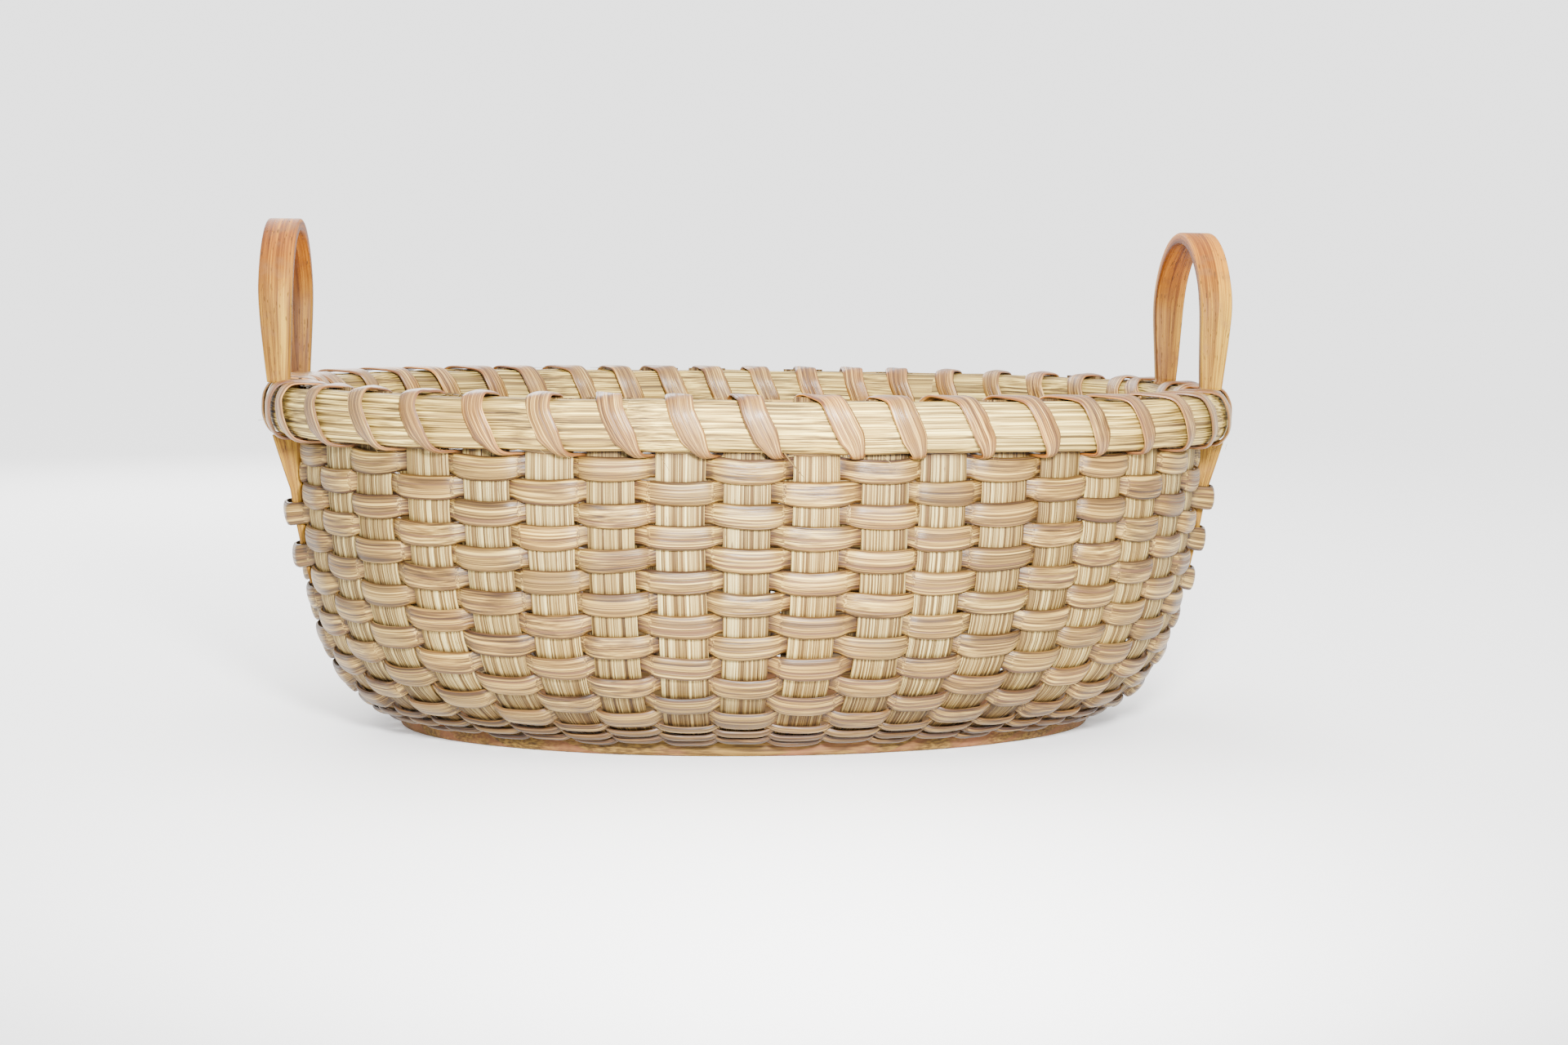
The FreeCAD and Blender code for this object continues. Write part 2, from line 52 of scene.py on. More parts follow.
wall = {
    "stakes": 44,
    "endFlare": 0.0555,  # how far the wall stands outside the board at its ends
    "sideFlare": 0.060,  # and along its sides
    "squareness": 2.5,  # of the oval at the rims; the board is a plain ellipse
    "footReach": 0.003,  # how far out of the slot a stake starts to bend
    "footRun": 0.030,  # how far it runs out before it rises
    "footRise": 0.008,
    "uprightPull": 0.126,  # how far below the rims it is pulled upright
    "tuck": 0.0055,  # how much closer the long sides keep to the board where they start to rise
    "tuckRun": 0.075,
    "slotLip": 0.0096,  # from the board's underside up to its slot
    "slotHeight": 0.0026,
    "spacingDrift": 0.36,  # how unevenly the stakes were set along the front, in pitches
    "spacingJitter": 0.05,
}
boardX, boardY = boardHigh.x, boardHigh.y
rimUnder, rimTop = rimLow.z, rimHigh.z
slotMiddle = wall["slotLip"] + wall["slotHeight"] / 2
rng = np.random.default_rng(7)


# offset and height against the distance along a stake, from where it leaves the slot
def bendTable(count=600):
    t = np.linspace(0, 1, count)[:, None]
    poles = np.array([
        (wall["footReach"], slotMiddle),
        (wall["footReach"] + wall["footRun"], slotMiddle + wall["footRise"]),
        (wall["sideFlare"], rimUnder - wall["uprightPull"]),
        (wall["sideFlare"], rimUnder),
    ])
    curve = ((1 - t) ** 3 * poles[0] + 3 * t * (1 - t) ** 2 * poles[1]
             + 3 * t * t * (1 - t) * poles[2] + t ** 3 * poles[3])
    run = np.concatenate([[0], np.cumsum(np.hypot(*np.diff(curve, axis=0).T))])
    return run, curve


bendRun, bendCurve = bendTable()
bendLength = bendRun[-1]


def ovalXY(angle, endOffset, sideOffset):
    share = np.clip(sideOffset / wall["sideFlare"], 0, 1)
    power = 2 + (wall["squareness"] - 2) * share
    c, s = np.cos(angle), np.sin(angle)
    reach = (np.abs(c) ** power + np.abs(s) ** power) ** (-1 / power)
    return (boardX + endOffset) * c * reach, (boardY + sideOffset) * s * reach


def wallPoint(angle, distance):
    angle, distance = np.broadcast_arrays(angle, distance)
    offset = np.interp(distance, bendRun, bendCurve[:, 0])
    height = np.interp(distance, bendRun, bendCurve[:, 1])
    offset = np.where(distance < 0, wall["footReach"] + distance, offset)
    height = np.where(distance > bendLength, rimUnder + distance - bendLength, height)
    rise = np.clip(distance / wall["tuckRun"], 0, 1)
    tuck = wall["tuck"] * np.sin(math.pi * rise ** 0.7) ** 2
    x, y = ovalXY(angle, offset * wall["endFlare"] / wall["sideFlare"], offset - tuck)
    return np.stack([x, y, height], -1)


def unit(v):
    return v / np.maximum(np.linalg.norm(v, axis=-1, keepdims=True), 1e-12)


# the wall's middle surface, its directions up and outward, and how far one radian goes round it
def wallFrame(angle, distance):
    small, step = 1e-3, 4e-4
    point = wallPoint(angle, distance)
    around = wallPoint(angle + small, distance) - wallPoint(angle - small, distance)
    up = wallPoint(angle, distance + step) - wallPoint(angle, distance - step)
    speed = np.linalg.norm(around, axis=-1) / (2 * small)
    around, up = unit(around), unit(up)
    return point, up, unit(np.cross(around, up)), speed


def stakeAngles():
    count = wall["stakes"]
    fine = np.linspace(0, 2 * math.pi, 7201)
    x, y = ovalXY(fine, wall["endFlare"], wall["sideFlare"])
    run = np.concatenate([[0], np.cumsum(np.hypot(np.diff(x), np.diff(y)))])
    number = np.arange(count, dtype=float)
    front = (number > count / 2 - 0.5) & (number < count - 2.5)
    drift = -wall["spacingDrift"] * np.sin(2 * math.pi * (number - count / 2 + 0.5) / 20)
    number += np.where(front, drift, 0) + wall["spacingJitter"] * rng.standard_normal(count)
    return np.interp((number + 0.5) / count * run[-1], run, fine)


stakeAt = stakeAngles()


# the angle at any place counted in stakes: 0 is the first stake, 0.5 the gap after it
def pitchAngle(number):
    count = wall["stakes"]
    turns = np.floor(number / count)
    known = np.concatenate([stakeAt - 2 * math.pi, stakeAt, stakeAt + 2 * math.pi])
    return np.interp(number - turns * count, np.arange(-count, 2 * count), known) + turns * 2 * math.pi


# a wandering value between about -1 and 1
def smoothNoise(positions, scale, seed, closedLength=None):
    source = np.random.default_rng(seed)
    if closedLength:
        waves = [max(1, round(closedLength / scale * k)) / closedLength for k in (0.6, 1.0, 1.7, 2.6)]
    else:
        waves = [k / scale for k in (0.6, 1.0, 1.7, 2.6)]
    total = np.zeros_like(positions, dtype=float)
    for wave, size in zip(waves, (0.5, 0.4, 0.25, 0.15)):
        total += size * np.sin(2 * math.pi * (positions * wave + source.random()))
    return total


# meshes made of swept strips


# collects swept strips into one piece, with grain coordinates, a tone and how much painted shade each point
# gets
class Strips:
    def __init__(self, name):
        self.name = name
        self.verts, self.faces, self.grain, self.tone, self.deep = [], [], [], [], []
        self.count = 0

    def add(self, grid, along, across, tone, deep, closed=False):
        rows, columns = grid.shape[:2]
        shift = rng.random(2) * 3
        rowStep = rows if closed else rows - 1
        i, j = np.meshgrid(np.arange(rowStep), np.arange(columns), indexing="ij")
        i, j = i.ravel(), j.ravel()
        i2, j2 = i + 1, j + 1
        ids = [(a % rows) * columns + b % columns for a, b in ((i, j), (i, j2), (i2, j2), (i2, j))]
        self.faces += (np.stack(ids, 1) + self.count).tolist()
        along = np.append(along, 2 * along[-1] - along[-2])
        across = np.append(across, 2 * across[-1] - across[-2])
        corners = ((i, j), (i, j2), (i2, j2), (i2, j))
        pairs = [np.stack([along[a] + shift[0], across[b] + shift[1]], 1) for a, b in corners]
        self.grain.append(np.stack(pairs, 1).reshape(-1, 2))
        if not closed:
            ends = [list(range(columns))[::-1], [(rows - 1) * columns + k for k in range(columns)]]
            for place, end in zip((0, -1), ends):
                self.faces.append([self.count + k for k in end])
                order = across[:columns][::-1] if place == 0 else across[:columns]
                flat = np.full(columns, along[place] + shift[0])
                self.grain.append(np.stack([flat, order + shift[1]], 1))
        self.verts.append(grid.reshape(-1, 3))
        shape = (rows, columns)
        self.tone.append(np.broadcast_to(tone, shape).ravel())
        self.deep.append(np.broadcast_to(deep, shape).ravel())
        self.count += rows * columns

    def finish(self, material, slotName, *nodes):
        mesh = bpy.data.meshes.new(self.name)
        mesh.from_pydata(np.concatenate(self.verts).tolist(), [], self.faces)
        layer = mesh.uv_layers.new(name="grain")
        layer.data.foreach_set("uv", np.concatenate(self.grain).astype(np.float32).ravel())
        for name, values in (("tone", self.tone), ("deep", self.deep)):
            attribute = mesh.attributes.new(name, "FLOAT", "POINT")
            attribute.data.foreach_set("value", np.concatenate(values).astype(np.float32))
        mesh.polygons.foreach_set("use_smooth", np.ones(len(mesh.polygons), dtype=bool))
        mesh.materials.append(material)
        mesh.update()
        piece = bpy.data.objects.new(self.name, mesh)
        bpy.context.scene.collection.objects.link(piece)
        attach(piece, "root")
        if nodes:
            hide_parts(*nodes)


# a strip's cross-section, as shares of its width and thickness: flat inside, domed outside
def flatOval(topPoints=9, edge=0.16):
    t = np.linspace(0, math.pi, topPoints)
    dome = np.stack([0.5 * np.cos(t), -0.5 + edge + (1 - edge) * np.sin(t) ** 0.75], 1)
    under = np.array([(-0.47, -0.5), (-0.2, -0.5), (0.2, -0.5), (0.47, -0.5)])
    return np.concatenate([dome, under])


# a plain flat strip's cross-section, with eased edges
def flatStrip(bevel=0.3):
    return np.array([
        (0.5, bevel), (0.492, 0.5), (0.3, 0.5), (0.1, 0.5), (-0.1, 0.5), (-0.3, 0.5), (-0.492, 0.5),
        (-0.5, bevel), (-0.5, -bevel), (-0.492, -0.5), (-0.25, -0.5), (0.25, -0.5), (0.492, -0.5),
        (0.5, -bevel),
    ])


def perimeter(section, width, thickness):
    scaled = section * (width, thickness)
    return np.concatenate([[0], np.cumsum(np.hypot(*np.diff(scaled, axis=0).T))])


def sweep(centre, sideways, outward, section, width, thickness):
    width, thickness = (np.broadcast_to(v, len(centre))[:, None, None] for v in (width, thickness))
    a, b = section[None, :, 0, None], section[None, :, 1, None]
    return centre[:, None] + sideways[:, None] * a * width + outward[:, None] * b * thickness


def lengthRun(points):
    return np.concatenate([[0], np.cumsum(np.linalg.norm(np.diff(points, axis=0), axis=1))])


# shading


# wraps a value's socket so that sums are written as Python expressions
class Socket:
    def __init__(self, shader, socket):
        self.shader, self.socket = shader, socket

    def maths(self, operation, *others, swap=False):
        values = [self, *others]
        if swap:
            values.reverse()
        return self.shader.node("ShaderNodeMath", {"operation": operation}, dict(enumerate(values)))

    def __add__(self, other):
        return self.maths("ADD", other)

    def __sub__(self, other):
        return self.maths("SUBTRACT", other)

    def __rsub__(self, other):
        return self.maths("SUBTRACT", other, swap=True)

    def __mul__(self, other):
        return self.maths("MULTIPLY", other)

    def __pow__(self, other):
        return self.maths("POWER", other)

    __radd__ = __add__
    __rmul__ = __mul__

    def clamp(self):
        return self.shader.node("ShaderNodeClamp", {}, {"Value": self})

    def smooth(self, low, high):
        return self.shader.node(
            "ShaderNodeMapRange",
            {"interpolation_type": "SMOOTHSTEP"},
            {"Value": self, "From Min": low, "From Max": high},
        )


class Shader:
    def __init__(self, name):
        self.material = bpy.data.materials.new(name)
        self.material.use_nodes = True
        self.tree = self.material.node_tree
        self.tree.nodes.clear()

    def node(self, kind, settings, inputs, output=0):
        made = self.tree.nodes.new(kind)
        for key, value in settings.items():
            if key == "stops":
                ramp = made.color_ramp
                while len(ramp.elements) < len(value):
                    ramp.elements.new(0.5)
                for element, (place, colour) in zip(ramp.elements, value):
                    element.position = place
                    element.color = (*colour, 1)
            else:
                setattr(made, key, value)
        for key, value in inputs.items():
            if isinstance(value, Socket):
                self.tree.links.new(value.socket, made.inputs[key])
            elif isinstance(value, tuple) and len(value) == 3 and made.inputs[key].type == "RGBA":
                made.inputs[key].default_value = (*value, 1)
            else:
                made.inputs[key].default_value = value
        return Socket(self, made.outputs[output]) if len(made.outputs) else None

    def mix(self, share, a, b, blend="MIX"):
        return self.node(
            "ShaderNodeMix",
            {"data_type": "RGBA", "blend_type": blend},
            {0: share, 6: a, 7: b},
            output=2,
        )

    def ramp(self, share, stops):
        return self.node("ShaderNodeValToRGB", {"stops": stops}, {"Fac": share})

    def noise(self, vector, scale=1.0, detail=3.0):
        return self.node(
            "ShaderNodeTexNoise",
            {"noise_dimensions": "3D"},
            {"Vector": vector, "Scale": scale, "Detail": detail, "Roughness": 0.55},
        )

    def combine(self, x, y, z=0.0):
        return self.node("ShaderNodeCombineXYZ", {}, {"X": x, "Y": y, "Z": z})

    # the distances along and across a strip, in metres
    def grain(self):
        pin = self.node("ShaderNodeUVMap", {"uv_map": "grain"}, {})
        x = self.node("ShaderNodeSeparateXYZ", {}, {"Vector": pin})
        y = Socket(self, x.socket.node.outputs[1])
        return x, y

    def value(self, name):
        return self.node("ShaderNodeAttribute", {"attribute_name": name}, {}, output=2)

    def place(self):
        return self.node("ShaderNodeTexCoord", {}, {}, output=3)

    def finish(self, colour, roughness, height, bumpDepth, gloss):
        bump = self.node("ShaderNodeBump", {}, {"Strength": 1.0, "Distance": bumpDepth, "Height": height})
        inputs = {"Base Color": colour, "Roughness": roughness, "Normal": bump, "Specular IOR Level": gloss}
        surface = self.node("ShaderNodeBsdfPrincipled", {}, inputs)
        self.node("ShaderNodeOutputMaterial", {}, {"Surface": surface})
        return self.material


# split cane: long fibres, broad bands, dark flecks, and painted shade, darker and warmer, where other
# strips cover it and in crevices;
# the last number of a noise's place only moves it, so that no two are alike
def reed(name, look):
    s = Shader(name)
    along, across = s.grain()
    tone, deep = s.value("tone"), s.value("deep")
    wander = s.noise(s.combine(along * 14, across * 30), detail=2)
    lane = across + wander * look["wander"]
    fibres = s.noise(s.combine(along * look["run"], lane * look["fibres"], tone * 5), detail=3)
    fine = s.noise(s.combine(along * look["run"] * 4, lane * look["fibres"] * 2.6, 7.3), detail=2)
    bands = s.noise(s.combine(along * look["run"] * 0.4, lane * look["bands"], 3.1 + tone), detail=1)
    streak = fibres * 0.5 + fine * 0.22 + bands * 0.28
    colour = s.ramp(streak.smooth(look["soft"], 1 - look["soft"]), look["stops"])
    cloud = s.noise(s.place(), scale=look["cloud"], detail=3)
    colour = s.mix((cloud + tone * 0.22).smooth(0.38, 0.72), colour, look["tint"], "MULTIPLY")
    bleached = (cloud * 0.6 + tone * -0.3 + 0.1).smooth(0.35, 0.75) * 0.6
    colour = s.mix(bleached, colour, look["pale"], "SOFT_LIGHT")
    specks = s.noise(s.combine(along * look["speckRun"], across * look["speckAcross"], 11.7), detail=2)
    speck = specks.smooth(look["speckFrom"], look["speckFrom"] + 0.06)
    colour = s.mix(speck * look["speck"], colour, look["dark"])
    grooves = s.noise(s.combine(along * look["run"] * 0.6, lane * look["grooves"], 19.1), detail=1)
    groove = 1 - grooves.smooth(0.34, 0.44)
    colour = s.mix(groove * look["grooveDepth"], colour, look["dark"])
    # painted shade: the colour is darkened towards the shade colour where the strip is covered or in a
    # crevice
    colour = s.mix(deep.smooth(0.05, 1.0) * 0.85, colour, look["shadePaint"], "MULTIPLY")
    rough = (look["rough"] + fine * 0.25 + groove * 0.2).clamp()
    height = fibres * 0.6 + fine * 0.3 - groove * 0.7 * look["grooveDepth"] + bands * 0.5
    return s.finish(colour, rough, height, look["bump"], look["gloss"])


# how many go across a metre of the strip: its fibres, bands and grooves; the rest are shares and colours,
# among them the colour of the painted shade
stakeLook = {
    "soft": 0.33, "run": 5.0, "fibres": 1650.0, "bands": 500.0, "wander": 0.0006, "cloud": 16.0,
    "stops": (
        (0.0, (0.0225, 0.00917, 0.00147)),
        (0.34, (0.0853, 0.047, 0.0102)),
        (0.6, (0.211, 0.14, 0.0419)),
        (1.0, (0.529, 0.437, 0.185)),
    ),
    "tint": (0.90, 0.86, 0.74), "pale": (0.9, 0.85, 0.7), "dark": (0.09, 0.045, 0.016),
    "shadePaint": (0.24, 0.15, 0.08), "speckRun": 130.0, "speckAcross": 900.0, "speckFrom": 0.68,
    "speck": 0.75, "grooves": 780.0, "grooveDepth": 0.5, "rough": 0.5, "bump": 0.00045, "gloss": 0.25,
}
weaverLook = dict(
    stakeLook, run=4.0, fibres=1300.0, bands=400.0,
    stops=(
        (0.0, (0.0219, 0.0087, 0.0013)),
        (0.3, (0.0781, 0.0411, 0.00727)),
        (0.62, (0.188, 0.112, 0.0238)),
        (1.0, (0.469, 0.331, 0.0917)),
    ),
    tint=(0.92, 0.84, 0.76), pale=(0.84, 0.74, 0.60), dark=(0.09, 0.040, 0.015),
    shadePaint=(0.22, 0.115, 0.06), speck=0.45, speckFrom=0.69, grooves=560.0, grooveDepth=0.85,
    rough=0.27, bump=0.0005, gloss=0.35,
)
rimLook = dict(
    stakeLook, run=2.2, fibres=1500.0, bands=450.0, wander=0.0007, cloud=9.0,
    stops=(
        (0.0, (0.0133, 0.00609, 0.00101)),
        (0.3, (0.1, 0.0607, 0.0127)),
        (0.62, (0.373, 0.255, 0.0647)),
        (1.0, (0.919, 0.736, 0.241)),
    ),
    tint=(0.90, 0.83, 0.66), dark=(0.13, 0.075, 0.032), shadePaint=(0.38, 0.24, 0.13), speckRun=70.0,
    speckAcross=520.0, speckFrom=0.69, speck=0.6, grooves=480.0, grooveDepth=0.5, rough=0.46,
    bump=0.0006, gloss=0.3,
)
lashingLook = dict(
    weaverLook, fibres=1350.0, bands=480.0, run=8.0,
    stops=(
        (0.0, (0.0351, 0.0129, 0.00198)),
        (0.3, (0.108, 0.0503, 0.00894)),
        (0.65, (0.23, 0.123, 0.0273)),
        (1.0, (0.608, 0.412, 0.122)),
    ),
    tint=(0.95, 0.80, 0.66), grooves=600.0, grooveDepth=0.6, rough=0.25, gloss=0.5,
    shadePaint=(0.74, 0.46, 0.20),
)
ashLook = {
    "stops": (
        (0.0, (0.101, 0.0413, 0.00305)),
        (0.4, (0.231, 0.115, 0.0104)),
        (0.7, (0.362, 0.211, 0.0219)),
        (1.0, (0.555, 0.372, 0.0488)),
    ),
    "fresh": (0.70, 0.60, 0.40), "worn": (0.90, 0.50, 0.07), "mottle": (0.17, 0.078, 0.026),
    "shaded": (0.50, 0.34, 0.25), "pore": (0.06, 0.028, 0.012), "rough": 0.46, "bump": 0.0003, "gloss": 0.2,
}
pineLook = {
    "stops": (
        (0.0, (0.0435, 0.0204, 0.00372)),
        (0.5, (0.091, 0.0481, 0.00916)),
        (1.0, (0.174, 0.0997, 0.0207)),
    ),
    # slot is the colour of the painted shade inside the board's slot
    "late": (0.13, 0.05, 0.019), "stain": (0.22, 0.082, 0.038), "slot": (0.55, 0.30, 0.18),
    "rings": 92,  # yearly rings in a metre
    "rough": 0.5, "bump": 0.0003, "gloss": 0.2,
}


# bent ash: short dark pores along the grain, orange where hands have worn it, greyer below
def handleWood():
    s, look = Shader("handleWood"), ashLook
    along, across = s.grain()
    worn = s.value("tone")
    wander = s.noise(s.combine(along * 22, across * 60), detail=2)
    lane = across + wander * 0.0016
    rings = s.noise(s.combine(along * 5, lane * 210, 1.7), detail=2)
    fibres = s.noise(s.combine(along * 26, lane * 1100, 4.2), detail=3)
    colour = s.ramp((rings * 0.55 + fibres * 0.45).smooth(0.32, 0.68), look["stops"])
    colour = s.mix(worn.smooth(0.1, 1.0), s.mix(1.0, colour, look["fresh"], "MULTIPLY"),
                   s.mix(1.0, colour, look["worn"], "MULTIPLY"))
    mottle = s.noise(s.place(), scale=70, detail=4)
    colour = s.mix(mottle.smooth(0.50, 0.72) * 0.5, colour, look["mottle"])
    # painted shade on the loop's inner face, broken up by the mottle
    colour = s.mix(s.value("deep") * (0.45 + mottle * 0.6).clamp(), colour, look["shaded"], "MULTIPLY")
    pores = s.noise(s.combine(along * 150, lane * 900, 9.9), detail=1).smooth(0.66, 0.74)
    colour = s.mix(pores * 0.75, colour, look["pore"])
    rough = (look["rough"] + fibres * 0.2 + pores * 0.2).clamp()
    return s.finish(colour, rough, fibres * 0.6 + rings * 0.4 - pores, look["bump"], look["gloss"])


# flat-sawn softwood: growth rings run along X and rise towards the middle of the tree
def boardWood():
    s, look = Shader("boardWood"), pineLook
    place = s.place()
    x = s.node("ShaderNodeSeparateXYZ", {}, {"Vector": place})
    y, z = (Socket(s, x.socket.node.outputs[k]) for k in (1, 2))
    sway = s.noise(s.combine(x * 3.2, y * 5, z * 6), detail=2)
    across = y + x * 0.10 + sway * 0.03
    radius = (across * across + (z + 0.045) * (z + 0.045)) ** 0.5
    rings = (radius * look["rings"] + sway * 2.0).maths("FRACT")
    late = rings.smooth(0.55, 0.97) * (1 - rings.smooth(0.97, 1.0))
    fibres = s.noise(s.combine(x * 30, y * 900, z * 900), detail=3)
    colour = s.ramp(fibres.smooth(0.3, 0.7), look["stops"])
    colour = s.mix(late * 0.75, colour, look["late"])
    stain = s.noise(place, scale=22, detail=4)
    colour = s.mix(stain.smooth(0.46, 0.7) * 0.6, colour, look["stain"])
    # painted shade inside the slot where the stakes stand
    colour = s.mix(s.value("deep").smooth(0.0, 1.0), colour, look["slot"], "MULTIPLY")
    rough = (look["rough"] + fibres * 0.3).clamp()
    return s.finish(colour, rough, fibres * 0.5 - late * 0.5, look["bump"], look["gloss"])


stakeReed = reed("stakeReed", stakeLook)
weaverReed = reed("weaverReed", weaverLook)
rimReed = reed("rimReed", rimLook)
lashingReed = reed("lashingReed", lashingLook)
handleGrain = handleWood()
boardGrain = boardWood()
print("materials made")

# stakes

stake = {
    "width": 0.0254,
    "thickness": 0.0016,
    "gap": 0.0055,  # left between two stakes where the wall is narrow
    "inset": 0.010,  # how deep it stands in the slot
    "give": 0.00055,
    "crown": 0.0006,
    "shade": 0.9,
    "rowShadow": 0.0052,  # how far from a crossing row's middle it starts to be lighter
    "rimShadow": 0.005,
    "cutLow": 0.0005,  # how far below the rims' top it is cut off
    "unevenCut": 0.0012,
    "lean": 0.0009,
}
locking = {"rows": 5, "width": 0.0046, "thickness": 0.0022, "proud": 0.55}
weaver = {
    "rows": 13, "thickness": 0.0028, "firstRow": 0.0020, "gap": 0.0005, "lashingRoom": 0.00255,
    "proud": 0.50,  # how much further out it arches over a stake, in thicknesses
    "snap": 2.0,  # how sharply it turns between two stakes
    "late": 0.16,  # how far past the gap's middle it stays outside
    "swell": 0.17,  # how much wider it is where it is seen whole
    "wander": 0.0012,
    "sag": 0.0012,  # how far it drops where it arches over a stake
    "steepest": 1.7,
    "unevenProud": 0.14,
    "insideProud": 0.25,  # how much of that it arches where it passes inside a stake
    "unevenWidth": 0.05,
    "unevenThickness": 0.06,
    "lean": 0.07,
    "footShade": 0.9,  # how much darker the rows are down at the board
    "footShadow": 0.065,  # how far up that reaches
    "edgeShade": 0.75,
}
rimRow = {"middle": 0.0095, "width": 0.016, "thickness": 0.0012}
tailStakes = (1, wall["stakes"] // 2 - 2, wall["stakes"] // 2 + 1, wall["stakes"] - 2)

lockingStart = weaver["firstRow"]
lockingPitch = locking["width"] + weaver["gap"]
weaverStart = lockingStart + locking["rows"] * lockingPitch
weaverPitch = (bendLength - weaver["lashingRoom"] - weaverStart) / weaver["rows"]
rowMiddles = [lockingStart + lockingPitch * k + locking["width"] / 2 for k in range(locking["rows"])]
rowMiddles += [weaverStart + weaverPitch * (k + 0.5) for k in range(weaver["rows"])]


# a stake is pushed in where a row passes outside it, and out where one passes inside
def stakeGive(i, distance):
    middles = np.array(rowMiddles)
    sides = np.array([-1.0 if (i + k + 1) % 2 == 0 else 1.0 for k in range(len(middles))])
    fade = np.interp(distance, [0, weaverStart, weaverStart + 0.02, bendLength, bendLength + 0.006],
                     [0, 0.1, 1, 0.6, 0])
    return np.interp(distance, middles, sides) * fade * stake["give"]


# how dark one face of a stake is: at the board, under the rims and beside the rows that cross it
def stakeShade(parity, stops):
    crossed = np.array([m for k, m in enumerate(rowMiddles) if (parity + k + 1) % 2 == 0])
    beside = np.abs(stops[:, None] - crossed[None]).min(axis=1)
    close = np.maximum(1.5 - beside / stake["rowShadow"], 1 - (bendLength - stops) / stake["rimShadow"])
    foot = np.interp(stops, [0, 0.03, 0.08], [1.0, 0.8, 0.0])
    return np.maximum(foot, stake["shade"] * np.clip(close, 0, 1))


def makeStake(strips, i):
    top = bendLength + rimTop - rimUnder - stake["cutLow"]
    stops = np.concatenate([
        np.linspace(-wall["footReach"] - stake["inset"], 0, 5),
        np.linspace(0.002, bendLength, 170),
        np.linspace(bendLength + 0.004, top + stake["unevenCut"] * rng.standard_normal(), 6),
    ])
    middle = pitchAngle(float(i))
    room = pitchAngle(i + 0.5) - pitchAngle(i - 0.5)
    speed = wallFrame(middle, stops)[3]
    width = np.minimum(stake["width"] * (1 + 0.03 * rng.standard_normal()), room * speed - stake["gap"])
    width = width * (1 + 0.02 * smoothNoise(stops, 0.09, i))
    lean = stake["lean"] * smoothNoise(stops, 0.25, i + 60) * np.interp(stops, [0, 0.03], [0, 1])
    section = flatStrip()
    turn = (section[None, :, 0] * width[:, None] + lean[:, None]) / speed[:, None]
    point, _, out, _ = wallFrame(middle + turn, stops[:, None])
    lift = section[None, :, 1] * stake["thickness"] + stakeGive(i, stops)[:, None]
    lift = lift + stake["crown"] * (0.5 - (2 * section[None, :, 0]) ** 2)
    grid = point + out * lift[..., None]
    # painted shade on each face of the stake, from stakeShade
    shadePaint = [stakeShade(i + face, stops)[:, None] for face in (0, 1)]
    strips.add(grid, stops, perimeter(section, stake["width"], stake["thickness"]),
               0.55 * rng.standard_normal(), np.where(section[None, :, 1] > 0, *shadePaint))


half = wall["stakes"] // 2
for i in range(half):
    pair = Strips(f"stakes_{i + 1:02d}")
    makeStake(pair, i)
    makeStake(pair, i + half)
    pair.finish(stakeReed, "stake_reed", f"stake_pair_{i + 1:02d}")
print("stakes made")

# woven rows

# a handle's tail: how deep it is under the rims, where the rows start to catch it, and at its end
tail = {"shoulder": 0.0165, "neck": 0.0072, "tip": 0.0018, "neckHeight": 0.146, "endHeight": 0.092,
        "room": 0.0008}


def tailDepth(height):
    return np.interp(height, [tail["endHeight"] - 1e-6, tail["endHeight"], tail["neckHeight"], rimUnder],
                     [0, tail["tip"], tail["neck"], tail["shoulder"]])


